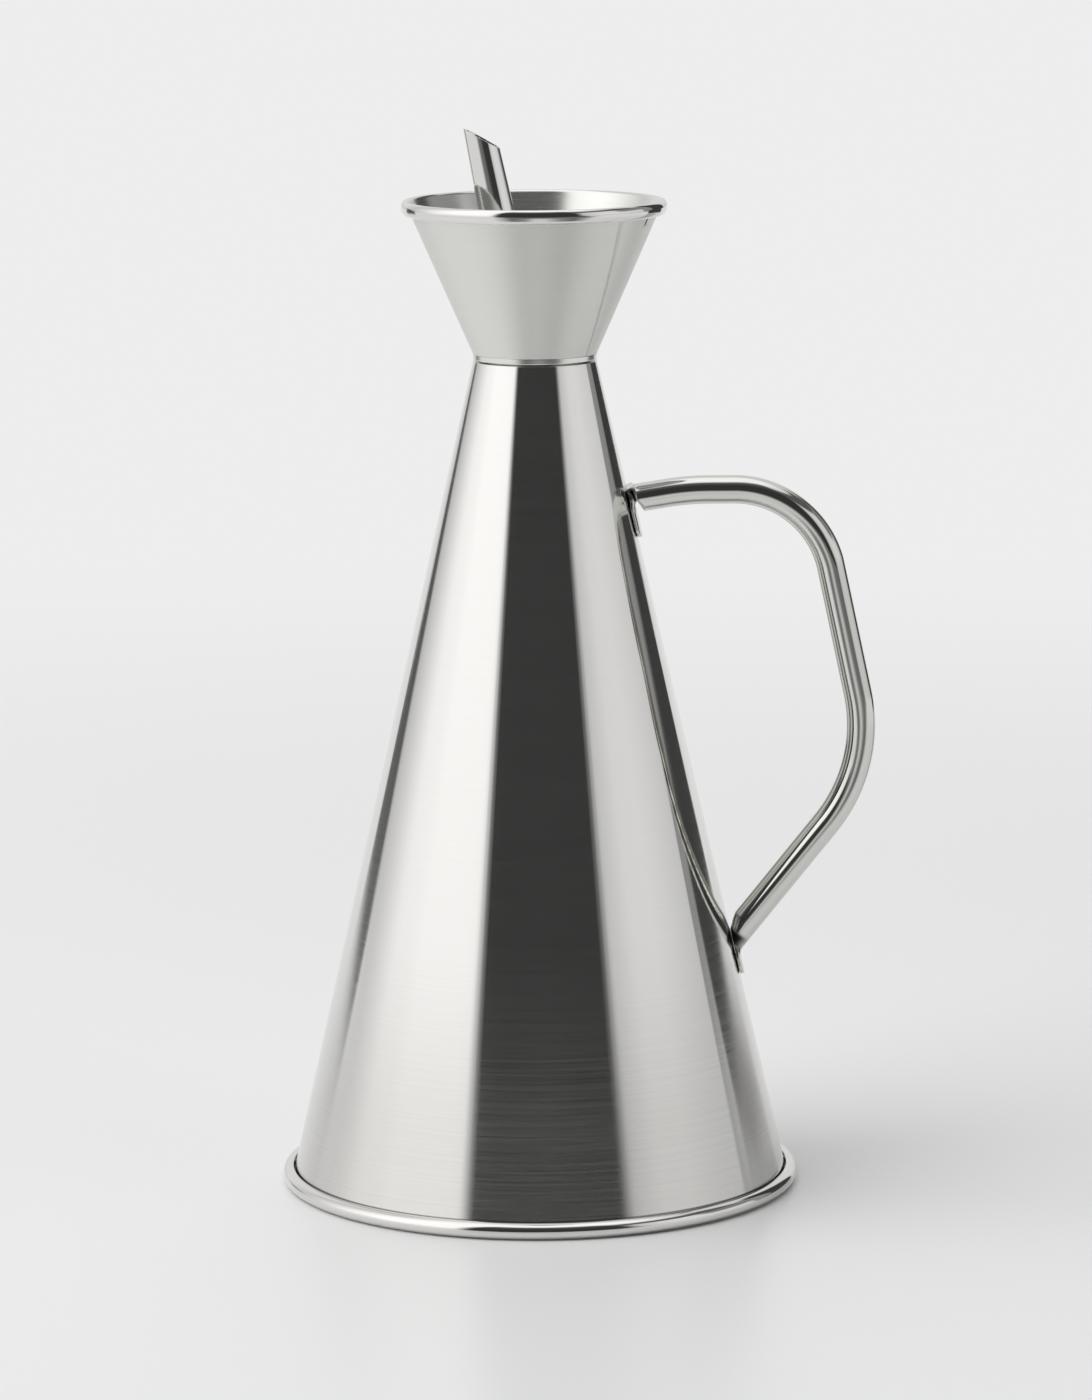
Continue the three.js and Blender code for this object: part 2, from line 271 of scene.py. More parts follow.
def lattice(tree, geometry, across, closing=0):
    """A grid with a column for each point of the geometry and a row for each step across, with each
    vertex's column and row. With a closing of 1 the first point is used again at the end."""
    size = add(tree, "GeometryNodeAttributeDomainSize", {"Geometry": geometry}, component="MESH")
    rows = calc(tree, "ADD", across, 1)
    columns = calc(tree, "ADD", size, closing)
    grid = add(tree, "GeometryNodeMeshGrid", {"Vertices X": columns, "Vertices Y": rows})
    index = add(tree, "GeometryNodeInputIndex")
    column = calc(tree, "MODULO", calc(tree, "FLOOR", calc(tree, "DIVIDE", index, rows)), size)
    row = calc(tree, "MODULO", index, rows)
    return grid, column, row


def sampled(tree, geometry, value, index):
    feeds = {"Geometry": geometry, "Value": value, "Index": index}
    return add(tree, "GeometryNodeSampleIndex", feeds, data_type="FLOAT_VECTOR", domain="POINT")


def kept(tree, geometry, name, value):
    """Stores a vector on the points, for the finish to follow."""
    feeds = {"Geometry": geometry, "Name": name, "Value": value}
    return add(tree, "GeometryNodeStoreNamedAttribute", feeds, data_type="FLOAT_VECTOR", domain="POINT")


def named_vector(tree, name):
    return add(tree, "GeometryNodeInputNamedAttribute", {"Name": name}, data_type="FLOAT_VECTOR")


def turning_tree():
    """Turns an outline round the Z axis. Its points give radius as x and height as z, and run
    anticlockwise. Closing is 1, or 0 for an outline that starts and ends on the axis. Slant shears the top
    of the piece along X, for a bevel cut."""
    inputs = {
        "Steps": "Int",
        "Closing": "Int",
        "Slant": "Float",
        "Slant From": "Float",
        "Slant To": "Float",
        "Finish": "Material",
        "Inside Finish": "Material",
        "Rim Finish": "Material",
        "Rim Height": "Float",
        "Rim Radius": "Float",
    }
    tree, given = new_tree("turned_sheet", inputs)
    outline = given["Geometry"]
    grid, column, row = lattice(tree, outline, given["Steps"], given["Closing"])
    position = add(tree, "GeometryNodeInputPosition")
    radius, _, height = parts_of(tree, sampled(tree, outline, position, column))
    angle = product(tree, calc(tree, "DIVIDE", row, given["Steps"]), math.tau)
    x = product(tree, radius, calc(tree, "COSINE", angle))
    y = product(tree, radius, calc(tree, "SINE", angle))
    share = rise(tree, height, given["Slant From"], given["Slant To"])
    shear = product(tree, x, given["Slant"], share)
    place = joined(tree, x, y, calc(tree, "ADD", height, shear))
    turned = add(tree, "GeometryNodeSetPosition", {"Geometry": grid, "Position": place})
    outward = add(tree, "GeometryNodeFlipFaces", {"Mesh": turned})
    finishes = [
        (given["Finish"], True),
        (given["Inside Finish"], inside_faces(tree)),
        (given["Rim Finish"], rim_faces(tree, given)),
    ]
    end_tree(tree, kept(tree, outward, "own_place", place), finishes)
    return tree


def inside_faces(tree):
    """The faces of a turned piece that look towards its axis."""
    x, y, _ = parts_of(tree, add(tree, "GeometryNodeInputPosition"))
    ahead_x, ahead_y, _ = parts_of(tree, add(tree, "GeometryNodeInputNormal"))
    outward = calc(tree, "ADD", product(tree, x, ahead_x), product(tree, y, ahead_y))
    return calc(tree, "LESS_THAN", outward, 0)


def rim_faces(tree, given):
    """The faces of a turned piece that lie high and far out enough to belong to its rim."""
    x, y, z = parts_of(tree, add(tree, "GeometryNodeInputPosition"))
    radius = length_of(tree, x, y)
    high = calc(tree, "GREATER_THAN", z, given["Rim Height"])
    far = calc(tree, "GREATER_THAN", radius, given["Rim Radius"])
    return product(tree, high, far)


def bent_tube_tree():
    """Lays a tube along a bent line in the XZ plane, flat where the line's form says so, with its flat
    ends curled round a cone and dented by weld marks."""
    inputs = {
        "Sides": "Int",
        "Diameter": "Float",
        "Flat Width": "Float",
        "Squaring": "Float",
        "Weld Marks": "Object",
        "Mark Radius": "Float",
        "Mark Depth": "Float",
        "Finish": "Material",
    }
    tree, given = new_tree("bent_tube", inputs)
    line = given["Geometry"]
    grid, column, row = lattice(tree, line, given["Sides"])

    def parts_on_line(name):
        return parts_of(tree, sampled(tree, line, named_vector(tree, name), column))

    place = sampled(tree, line, add(tree, "GeometryNodeInputPosition"), column)
    ahead_x, _, ahead_z = parts_on_line("heading")
    flat, hug, cone_radius = parts_on_line("form")
    width_share, depth_share, along = parts_on_line("taper")
    round_side, depth, pinch = parts_on_line("side")
    angle = product(tree, calc(tree, "DIVIDE", row, given["Sides"]), -math.tau)
    sine = calc(tree, "SINE", angle)
    half_width = calc(tree, "DIVIDE", blend_of(tree, flat, given["Diameter"], given["Flat Width"]), 2)
    across = product(tree, half_width, width_share, calc(tree, "COSINE", angle))
    power = calc(tree, "SUBTRACT", 1, product(tree, flat, given["Squaring"]))
    squared = calc(tree, "POWER", calc(tree, "ABSOLUTE", sine), power)
    lifted = product(tree, calc(tree, "SIGN", sine), squared, depth_share)
    curl = calc(tree, "DIVIDE", product(tree, across, across, hug), product(tree, cone_radius, 2))
    inner_share = calc(tree, "LESS_THAN", lifted, 0)
    reach = blend_of(tree, inner_share, round_side, calc(tree, "SUBTRACT", depth, round_side))
    sunk = calc(tree, "SUBTRACT", product(tree, lifted, reach), round_side)
    out = calc(tree, "ADD", sunk, curl)
    shift = joined(tree, product(tree, ahead_z, -1, out), across, product(tree, ahead_x, out))
    laid = add(tree, "GeometryNodeSetPosition", {"Geometry": grid, "Position": place, "Offset": shift})
    marks = add(tree, "GeometryNodeObjectInfo", {"Object": given["Weld Marks"]}, out="Geometry")
    feeds = {"Geometry": marks}
    near = add(tree, "GeometryNodeProximity", feeds, out="Distance", target_element="POINTS")
    dent = calc(tree, "SUBTRACT", 1, rise(tree, near, 0, given["Mark Radius"]))
    inward = product(tree, dent, given["Mark Depth"], -1)
    normal = add(tree, "GeometryNodeInputNormal")
    push = add(tree, "ShaderNodeVectorMath", {0: normal, "Scale": inward}, operation="SCALE")
    dented = add(tree, "GeometryNodeSetPosition", {"Geometry": laid, "Offset": push})
    own = joined(tree, across, sunk, along)
    # painted shade at the pinches, towards the tube's inner side
    shade = product(tree, pinch, rise(tree, lifted, PINCH_SHADE_FROM, PINCH_SHADE_FULL))
    shaded = kept(tree, dented, "pinch_shade", joined(tree, shade, shade, shade))
    end_tree(tree, kept(tree, shaded, "own_place", own), [(given["Finish"], True)])
    return tree


def set_input(modifier, name, value):
    sockets = modifier.node_group.interface.items_tree
    identifier = next(item.identifier for item in sockets if item.name == name and item.in_out == "INPUT")
    modifier[identifier] = value


def shaped(name, points, tree, sizes, vectors=None):
    """A plain mesh object that a geometry tree makes from points in metres. Vectors are named values on
    the points."""
    mesh = bpy.data.meshes.new(name)
    mesh.from_pydata(points, [], [])
    for label, values in (vectors or {}).items():
        layer = mesh.attributes.new(label, "FLOAT_VECTOR", "POINT")
        layer.data.foreach_set("vector", [number for vector in values for number in vector])
    piece = bpy.data.objects.new(name, mesh)
    bpy.context.scene.collection.objects.link(piece)
    modifier = piece.modifiers.new("shape", "NODES")
    modifier.node_group = tree
    for label, value in sizes.items():
        set_input(modifier, label, value)
    depsgraph = bpy.context.evaluated_depsgraph_get()
    final = bpy.data.meshes.new_from_object(
        piece.evaluated_get(depsgraph), preserve_all_data_layers=True, depsgraph=depsgraph
    )
    piece.modifiers.remove(modifier)
    piece.data = final
    final.name = name
    return piece


# Outlines of the turned pieces, in radius and height


def arc(middle, radius, start, end):
    """Points round an arc, from one angle to another."""
    steps = max(2, math.ceil(abs(end - start) / ARC_STEP))
    angles = [math.radians(start + (end - start) * step / steps) for step in range(steps + 1)]
    x, y = middle
    return [(x + radius * math.cos(angle), y + radius * math.sin(angle)) for angle in angles]


def oval(middle, half_width, half_height, start, end):
    """Points round an upright oval, from one angle to another."""
    points = arc((0, 0), 1, start, end)
    return [(middle[0] + half_width * x, middle[1] + half_height * y) for x, y in points]


def softened(corners):
    """Points of a closed outline. A corner is (radius, height) or, if rounded, (radius, height, fillet)."""
    points = []
    for number, corner in enumerate(corners):
        here = Vector(corner[:2])
        if len(corner) == 2:
            points.append(here)
            continue
        before = Vector(corners[number - 1][:2]) - here
        after = Vector(corners[(number + 1) % len(corners)][:2]) - here
        half = before.angle(after) / 2
        shorter = min(before.length, after.length)
        setback = min(corner[2] / math.tan(half), FILLET_SHARE * shorter)
        radius = setback * math.tan(half)
        before.normalize()
        after.normalize()
        middle = here + (before + after).normalized() * radius / math.sin(half)
        start = here + before * setback - middle
        end = here + after * setback - middle
        first = math.degrees(math.atan2(start.y, start.x))
        turn = math.degrees(math.atan2(start.cross(end), start.dot(end)))
        points.append(middle + start + before * EASE)
        points.extend(Vector(point) for point in arc(middle, radius, first, first + turn))
        points.append(middle + end + after * EASE)
    return [(point[0] * MM, 0, point[1] * MM) for point in points]


def cone_outline():
    low = SHEET + WELD_GAP
    foot_top = low + SHEET
    return softened([
        (body_inside(low), low),
        (seam_radius, low, CUT_EDGE),
        (seam_radius, foot_top, CUT_EDGE),
        (body_outside(foot_top), foot_top, CUT_EDGE),
        (BODY_MOUTH_RADIUS, BODY_HEIGHT, CUT_EDGE),
        (body_inside(BODY_HEIGHT), BODY_HEIGHT, CUT_EDGE),
    ])


def base_outline():
    """Flat base with a pressed rib, its edge rolled up and over the cone's foot."""
    rib_in = RIB_RADIUS - RIB_WIDTH / 2
    rib_out = RIB_RADIUS + RIB_WIDTH / 2
    middle = (seam_radius, ROLL_RADIUS)
    sheet_middle = ROLL_RADIUS - SHEET / 2
    reach = SEAM_GAP + SHEET / 2 - SHEET * math.cos(body_lean)
    lip = math.degrees(body_lean + math.acos(reach / sheet_middle))
    lip_middle = arc(middle, sheet_middle, lip, lip + 1)[0]
    return softened([
        (0, 0),
        (rib_in, 0, RIB_FILLET),
        (rib_in + RIB_RISE, RIB_RISE, RIB_FILLET),
        (rib_out - RIB_RISE, RIB_RISE, RIB_FILLET),
        (rib_out, 0, RIB_FILLET),
        *arc(middle, ROLL_RADIUS, -90, lip),
        *arc(lip_middle, SHEET / 2, lip, lip + 180)[1:-1],
        *arc(middle, ROLL_BORE, lip, -90),
        (rib_out, SHEET, RIB_FILLET),
        (rib_out - RIB_RISE, SHEET + RIB_RISE, RIB_FILLET),
        (rib_in + RIB_RISE, SHEET + RIB_RISE, RIB_FILLET),
        (rib_in, SHEET, RIB_FILLET),
        (0, SHEET),
    ])


def neck_outline():
    low = BODY_HEIGHT - NECK_DEPTH
    outside = body_inside(BODY_HEIGHT) - WELD_GAP
    bore = neck_bore()
    return softened([
        (bore, low, CUT_EDGE),
        (outside, low, CUT_EDGE),
        (outside, BODY_HEIGHT, CUT_EDGE),
        (bore, BODY_HEIGHT, CUT_EDGE),
    ])


def neck_bore():
    return body_inside(BODY_HEIGHT) - PLUG_PLAY - SHEET


def collar_outline():
    """Plug sleeve with the flange that seats on the cone's mouth."""
    low = BODY_HEIGHT - COLLAR_DEPTH
    outside = neck_bore() - PLUG_PLAY
    bore = outside - SHEET
    flange_low = BODY_HEIGHT + MOUTH_GAP
    flange_high = flange_low + SHEET
    edge_high = flange_low + FLANGE_HEIGHT
    edge_in = BODY_MOUTH_RADIUS - FLANGE_EDGE
    return softened([
        (bore, low, CUT_EDGE),
        (outside, low, CUT_EDGE),
        (outside, flange_low, CUT_EDGE),
        (BODY_MOUTH_RADIUS, flange_low, FLANGE_EDGE / 3),
        (BODY_MOUTH_RADIUS, edge_high, FOOT_FILLET),
        (edge_in, edge_high, FLANGE_EDGE / 3),
        (edge_in, flange_high, CUT_EDGE),
        (bore, flange_high, CUT_EDGE),
    ])


def funnel_outline():
    """Funnel wall that runs straight into the top of its rolled rim."""
    slope = math.tan(math.radians(FUNNEL_FLARE))
    thickness = SHEET / math.cos(math.radians(FUNNEL_FLARE))
    middle = (RIM_RADIUS - RIM_HALF_WIDTH, RIM_HEIGHT)

    def rolled(half_width, half_height):
        """The part of the roll from where the wall meets it to its end."""
        meeting = 180 - math.degrees(math.atan(slope * half_height / half_width))
        return oval(middle, half_width, half_height, meeting, RIM_END)

    bore = rolled(RIM_HALF_WIDTH - SHEET, RIM_HALF_HEIGHT - SHEET)
    outside = rolled(RIM_HALF_WIDTH, RIM_HALF_HEIGHT)[::-1]
    end = RIM_END + 360
    end_middle = [(one + other) / 2 for one, other in zip(bore[-1], outside[0])]
    return softened([
        (FUNNEL_FOOT_RADIUS - thickness, FUNNEL_FOOT, CUT_EDGE),
        (FUNNEL_FOOT_RADIUS, FUNNEL_FOOT, FOOT_FILLET),
        *bore,
        *arc(end_middle, SHEET / 2, end + 180, end + 360)[1:-1],
        *outside,
    ])


def spout_outline():
    def radius(along):
        share = along / SPOUT_LENGTH
        return (SPOUT_FOOT_DIAMETER + (SPOUT_TIP_DIAMETER - SPOUT_FOOT_DIAMETER) * share) / 2

    foot = radius(-SPOUT_TAIL)
    tip = radius(SPOUT_LENGTH)
    return softened([
        (foot - SPOUT_WALL, -SPOUT_TAIL, CUT_EDGE),
        (foot, -SPOUT_TAIL, CUT_EDGE),
        (tip, SPOUT_LENGTH, CUT_EDGE),
        (tip - SPOUT_WALL, SPOUT_LENGTH, CUT_EDGE),
    ])


# The handle's bent line


def bent_line(corners, bends):
    """Points and headings along straight runs joined by bends, and the lengths where each of them ends."""
    runs = [after - before for before, after in zip(corners, corners[1:])]
    half_turns = [one.angle(other) / 2 for one, other in zip(runs, runs[1:])]
    setbacks = [0.0, *(bend * math.tan(half) for bend, half in zip(bends, half_turns)), 0.0]
    stations = []
    ends = [0.0]
    for number, run in enumerate(runs):
        heading = run.normalized()
        start = corners[number] + heading * setbacks[number]
        length = run.length - setbacks[number] - setbacks[number + 1]
        steps = max(1, math.ceil(length / STATION_STEP))
        for step in range(steps + 1):
            along = length * step / steps
            stations.append((ends[-1] + along, start + heading * along, heading))
        ends.append(ends[-1] + length)
        if number == len(bends):
            break
        turn = 2 * half_turns[number] * math.copysign(1, run.cross(runs[number + 1]))
        arc_length = bends[number] * abs(turn)
        side = Vector((-heading.y, heading.x)) * math.copysign(bends[number], turn)
        bend_start = start + heading * length
        steps = max(4, math.ceil(arc_length / STATION_STEP))
        for step in range(1, steps):
            spin = Matrix.Rotation(turn * step / steps, 2)
            place = bend_start + side - spin @ side
            stations.append((ends[-1] + arc_length * step / steps, place, spin @ heading))
        ends.append(ends[-1] + arc_length)
    return stations, ends


def handle_corners():
    upper = BODY_HEIGHT - HANDLE_DROP
    upper_off = WELD_GAP / math.cos(body_lean)
    lower_off = (WELD_GAP + TONGUE_THICKNESS) / math.cos(body_lean)

    def off_cone(height, run, lift=0.0):
        return Vector((body_outside(height) + run, height + lift))

    return [
        off_cone(upper - TONGUE_UPPER * math.cos(body_lean), upper_off),
        off_cone(upper, upper_off),
        off_cone(upper, HANDLE_ARCH_RUN, HANDLE_TOP_RISE),
        off_cone(upper, HANDLE_TOP_RUN, HANDLE_TOP_RISE),
        off_cone(HANDLE_LOW_JOINT, HANDLE_LOW_RUN, HANDLE_LOW_RISE),
        off_cone(HANDLE_LOW_JOINT, lower_off),
        off_cone(HANDLE_LOW_JOINT - TONGUE_LOWER * math.cos(body_lean), lower_off),
    ]


def smooth_least(one, other, ease):
    """The lesser of two values, rounded where they are close."""
    near = max(0.0, ease - abs(one - other))
    return min(one, other) - near * near / (4 * ease)


def pressed_depth(place, heading):
    """Depth of the tube where its inner side is pressed towards the cone."""
    inward = Vector((heading.y, -heading.x))
    closing = -inward.x - body_slope * inward.y
    if closing <= 0:
        return HANDLE_DIAMETER
    room = (place.x - body_outside(place.y)) / closing - WELD_GAP
    gap = PRESS_GAP * min(1.0, max(0.0, (room - PRESS_CLOSE) / (PRESS_OPEN - PRESS_CLOSE)))
    return smooth_least(HANDLE_DIAMETER, room - gap, PRESS_EASE)


def smooth_share(value, start, end):
    share = min(1.0, max(0.0, (value - start) / (end - start)))
    return share * share * (3 - 2 * share)


def bell(value, middle, half, fade):
    """1 near the middle, falling smoothly over a fade to 0 at half a width from it."""
    return smooth_share(half - abs(value - middle), 0.0, fade)


def round_side(depth):
    """Depth of the side that stays round, in a tube that is pressed from its other side."""
    pressed = min(HANDLE_DIAMETER / 2, depth - PRESS_FLOOR)
    return depth / 2 + (pressed - depth / 2) * smooth_share(depth, ROUND_SIDE_FROM, ROUND_SIDE_FULL)


def tube_depth(along, place, heading, ends):
    """Depth of the tube at a station, from its flat tongues to its full diameter."""
    if along > ends[-1] / 2:
        return pressed_depth(place, heading)
    lap_from = ends[1] - UPPER_LAP_LENGTH
    lap = UPPER_LAP * smooth_share(along, lap_from, lap_from + UPPER_LAP_RISE)
    lap *= 1 - smooth_share(along, ends[1] - UPPER_LAP_FALL, ends[1])
    step_end = ends[2] + UPPER_PRESS_STEP
    opening = (UPPER_PRESS_DEPTH - TONGUE_THICKNESS) * smooth_share(along, ends[2], step_end)
    swelling = smooth_share(along, step_end, step_end + UPPER_PRESS_LENGTH)
    return TONGUE_THICKNESS + lap + opening + (HANDLE_DIAMETER - UPPER_PRESS_DEPTH) * swelling


def pinch_shade_at(along, ends):
    """How much painted shade the tube has where its ends are pinched, from 0 to 1."""
    upper_from = ends[1] - UPPER_PINCH_DOWN
    upper_to = ends[2] + UPPER_PINCH_ALONG
    upper = UPPER_PINCH_SHADE * smooth_share(along, upper_from, upper_from + UPPER_PINCH_FADE)
    upper *= smooth_share(along, upper_to, upper_to - UPPER_PINCH_FADE)
    lower = bell(along, ends[-3] - LOWER_PINCH, LOWER_PINCH_LENGTH, LOWER_PINCH_FADE)
    return max(upper, lower)


def rounded_end(distance, length):
    """Share of the full size at a distance from an end that is rounded off over a length."""
    near = max(0.0, 1 - distance / length)
    return math.sqrt(max(0.0, 1 - near * near))


def weld_marks(corners):
    """Points on the faces of the tongues where the welder's tip pressed."""
    down = Vector((math.sin(body_lean), -math.cos(body_lean)))
    off = Vector((math.cos(body_lean), math.sin(body_lean))) * TONGUE_THICKNESS
    upper = [corners[1] + down * depth + off for depth in WELD_MARKS_UPPER]
    lower = [corners[-2] + down * depth for depth in WELD_MARKS_LOWER]
    mesh = bpy.data.meshes.new("weld_marks")
    mesh.from_pydata([(spot.x * MM, 0, spot.y * MM) for spot in upper + lower], [], [])
    marks = bpy.data.objects.new("weld_marks", mesh)
    bpy.context.scene.collection.objects.link(marks)
    return marks


def make_handle(finish):
    corners = handle_corners()
    bends = [TONGUE_BEND_UPPER, HANDLE_ARCH_BEND, HANDLE_TOP_BEND, HANDLE_LOW_BEND, TONGUE_BEND_LOWER]
    stations, ends = bent_line(corners, bends)
    points, headings, forms, tapers, sides = [], [], [], [], []
    for along, place, heading in stations:
        depth = tube_depth(along, place, heading, ends)
        flat = (HANDLE_DIAMETER - depth) / (HANDLE_DIAMETER - TONGUE_THICKNESS)
        upper_hug = 1 - smooth_share(along, ends[1], ends[2])
        lower_hug = smooth_share(along, ends[-3], ends[-2])
        edge = min(along, ends[-1] - along)
        width_share = rounded_end(edge, TONGUE_ROUND)
        depth_share = rounded_end(edge, TONGUE_THICKNESS / 2)
        points.append((place.x * MM, 0, place.y * MM))
        headings.append((heading.x, 0, heading.y))
        forms.append((flat**WIDENING_POWER, upper_hug - lower_hug, body_outside(place.y) * MM))
        tapers.append((width_share, depth_share, along * MM))
        sides.append((round_side(depth) * MM, depth * MM, pinch_shade_at(along, ends)))
    marks = weld_marks(corners)
    sizes = {
        "Sides": HANDLE_SIDES,
        "Diameter": HANDLE_DIAMETER * MM,
        "Flat Width": tongue_width * MM,
        "Squaring": FLATTEN_SQUARING,
        "Weld Marks": marks,
        "Mark Radius": WELD_MARK_RADIUS * MM,
        "Mark Depth": WELD_MARK_DEPTH * MM,
        "Finish": finish,
    }
    vectors = {"heading": headings, "form": forms, "taper": tapers, "side": sides}
    handle = shaped("bent_tube_handle", points, bent_tube_tree(), sizes, vectors)
    bpy.data.objects.remove(marks)
    return handle


# Finishes

STEEL = (0.75, 0.742, 0.725)
TUBE_STEEL = (0.69, 0.694, 0.662)
# painted shade on the inner side of the loop, which faces the cone
PAINTED_TUBE_SHADE = (0.24, 0.235, 0.195)
TUBE_SHADE_FROM = -1.5  # across the tube, where the painted shade on the inner side of the loop starts
TUBE_SHADE_FULL = -0.8
TUBE_SHADE_DEPTH_FROM = -4.2  # and down from the outside of the loop
TUBE_SHADE_DEPTH_FULL = -5.2
SATIN_STEEL = (0.77, 0.774, 0.744)
SEAM_STEEL = (0.5, 0.5, 0.48)
SEAM_AZIMUTH = 56.0  # of the funnel's seam at its foot, from the photograph's side towards the handle
SEAM_TWIST = -12.0
SEAM_HALF_WIDTH = 2.2
SEAM_FULL = 0.44  # half width of its middle
SEAM_TINT = 0.35
SEAM_DEPTH = 1e-4  # metres
LAP_SHADE_AZIMUTH = 66.0  # of the painted shade in the notch under the rim where the rolled sheet overlaps
LAP_SHADE_HALF_WIDTH = 1.2
LAP_SHADE_FULL = 0.48
LAP_SHADE_FROM = 3.8  # below the middle of the roll
LAP_SHADE_TO = 2.6
FOOTWARD_FROM = 62.0  # height where the cone's polish starts to be duller and its colour darker, towards the foot
FOOTWARD_TO = 12.0
WORN_ROUGHNESS = 0.04
CONE_STREAKS = (70, 70, 3600)  # of noise to a metre, along each axis
CONE_SCRATCHES = (16, 16, 2700)
ROLL_STREAKS = (60, 60, 1500)
SPOUT_STREAKS = (900, 900, 30)
HANDLE_STREAKS = (900, 900, 40)
SATIN_STREAKS = (70, 70, 3200)
CONE_POLISH = (0.06, 0.095)  # roughness in the dark and in the light of the streaks
ROLL_POLISH = (0.05, 0.09)
SPOUT_POLISH = (0.06, 0.12)
HANDLE_POLISH = (0.05, 0.1)
PINCH_ROUGHNESS = 0.5
FUNNEL_SATIN = (0.42, 0.5)
INSIDE_SATIN = (0.23, 0.28)
STREAK_DEPTH = 1e-7  # metres
SATIN_DEPTH_SHARE = 0.01  # depth of the satin streaks, as a share of the seam's
SATIN_BRUSHING = 0.5
QUARTER_TURN = 0.25
SCRATCH_DETAIL = 5.0
SCRATCH_SPREAD = (0.2, 1.8)
SCRATCHED = 0.012  # share of the polished cone's light that its scratches scatter
WORN_SCRATCHED = 0.055
# darker colour of the cone towards the foot
FOOT_STEEL = (0.665, 0.658, 0.64)
SEAM_SHADE_FROM = 3.7  # height of the painted shade down in the seam
SEAM_SHADE_TO = 3.2
# near black, for painted shade in the cone's seam, the handle's pinches and the funnel's notch
PAINTED_SHADE = (0.02, 0.018, 0.016)


def new_finish(name, colour, brushing=0.0):
    """A steel finish. Brushing, from 0 to 1, spreads its gloss across scratches that run round Z."""
    material = bpy.data.materials.new(name)
    material.use_nodes = True
    tree = material.node_tree
    shader = tree.nodes["Principled BSDF"]
    shader.inputs["Base Color"].default_value = (*colour, 1)
    shader.inputs["Metallic"].default_value = 1
    if brushing:
        shader.inputs["Anisotropic"].default_value = brushing
        shader.inputs["Anisotropic Rotation"].default_value = QUARTER_TURN
        tangent = add(tree, "ShaderNodeTangent", direction_type="RADIAL", axis="Z")
        feed(tree, shader.inputs["Tangent"], tangent)
    return material, tree, shader


def grain(tree, place, stretch, detail=3.0):
    """Streaks of noise: stretch gives how many to a metre along each axis of the place."""
    spread = add(tree, "ShaderNodeVectorMath", {0: place, 1: stretch}, operation="MULTIPLY")
    return add(tree, "ShaderNodeTexNoise", {"Vector": spread, "Scale": 1.0, "Detail": detail})


def object_place(tree):
    return add(tree, "ShaderNodeTexCoord", out="Object")


def own_place(tree):
    return add(tree, "ShaderNodeAttribute", out="Vector", attribute_name="own_place")


def between(tree, streaks, low, high):
    """low in the dark of the streaks and high in their light."""
    feeds = {"Value": streaks, "From Min": 0.3, "From Max": 0.7, "To Min": low, "To Max": high}
    return add(tree, "ShaderNodeMapRange", feeds)


def bumped(tree, shader, height, distance):
    feeds = {"Height": height, "Distance": distance}
    feed(tree, shader.inputs["Normal"], add(tree, "ShaderNodeBump", feeds))


def tinted(tree, share, one, other):
    """One colour where share is 0 and the other where it is 1."""
    feeds = {"Factor": share, "A": one, "B": other}
    return add(tree, "ShaderNodeMix", feeds, out="Result", data_type="RGBA")


def polished_cone():
    """Fine circular polish, duller and darker towards the foot, with painted shade down in the seam."""
    material, tree, shader = new_finish("polished_cone", STEEL, 1.0)
    place = object_place(tree)
    streaks = grain(tree, place, CONE_STREAKS)
    _, _, height = parts_of(tree, place)
    footward = rise(tree, height, FOOTWARD_FROM * MM, FOOTWARD_TO * MM)
    polish = between(tree, streaks, *CONE_POLISH)
    dulling = product(tree, footward, WORN_ROUGHNESS)
    feed(tree, shader.inputs["Roughness"], calc(tree, "ADD", polish, dulling))
    scratches = between(tree, grain(tree, place, CONE_SCRATCHES, SCRATCH_DETAIL), *SCRATCH_SPREAD)
    scattered = product(tree, scratches, blend_of(tree, footward, SCRATCHED, WORN_SCRATCHED))
    feed(tree, shader.inputs["Metallic"], calc(tree, "SUBTRACT", 1.0, scattered))
    shade = rise(tree, height, SEAM_SHADE_FROM * MM, SEAM_SHADE_TO * MM)
    steel = tinted(tree, footward, (*STEEL, 1), (*FOOT_STEEL, 1))
    feed(tree, shader.inputs["Base Color"], tinted(tree, shade, steel, (*PAINTED_SHADE, 1)))
    bumped(tree, shader, streaks, STREAK_DEPTH)
    return material


def polished_roll():
    material, tree, shader = new_finish("polished_roll", STEEL)
    streaks = grain(tree, object_place(tree), ROLL_STREAKS)
    feed(tree, shader.inputs["Roughness"], between(tree, streaks, *ROLL_POLISH))
    return material


def drawn_spout():
    material, tree, shader = new_finish("drawn_spout", STEEL)
    streaks = grain(tree, own_place(tree), SPOUT_STREAKS)
    feed(tree, shader.inputs["Roughness"], between(tree, streaks, *SPOUT_POLISH))
    return material


def drawn_handle():
    """Drawn tube, with painted shade on the inside of the loop and where it is pinched against the cone."""
    material, tree, shader = new_finish("drawn_handle", TUBE_STEEL)
    place = own_place(tree)
    streaks = grain(tree, place, HANDLE_STREAKS)
    across, sunk, _ = parts_of(tree, place)
    behind = rise(tree, across, TUBE_SHADE_FROM * MM, TUBE_SHADE_FULL * MM)
    within = rise(tree, sunk, TUBE_SHADE_DEPTH_FROM * MM, TUBE_SHADE_DEPTH_FULL * MM)
    steel = tinted(tree, product(tree, behind, within), (*TUBE_STEEL, 1), (*PAINTED_TUBE_SHADE, 1))
    shade = add(tree, "ShaderNodeAttribute", out="Fac", attribute_name="pinch_shade")
    feed(tree, shader.inputs["Base Color"], tinted(tree, shade, steel, (*PAINTED_SHADE, 1)))
    polish = between(tree, streaks, *HANDLE_POLISH)
    feed(tree, shader.inputs["Roughness"], blend_of(tree, shade, polish, PINCH_ROUGHNESS))
    return material


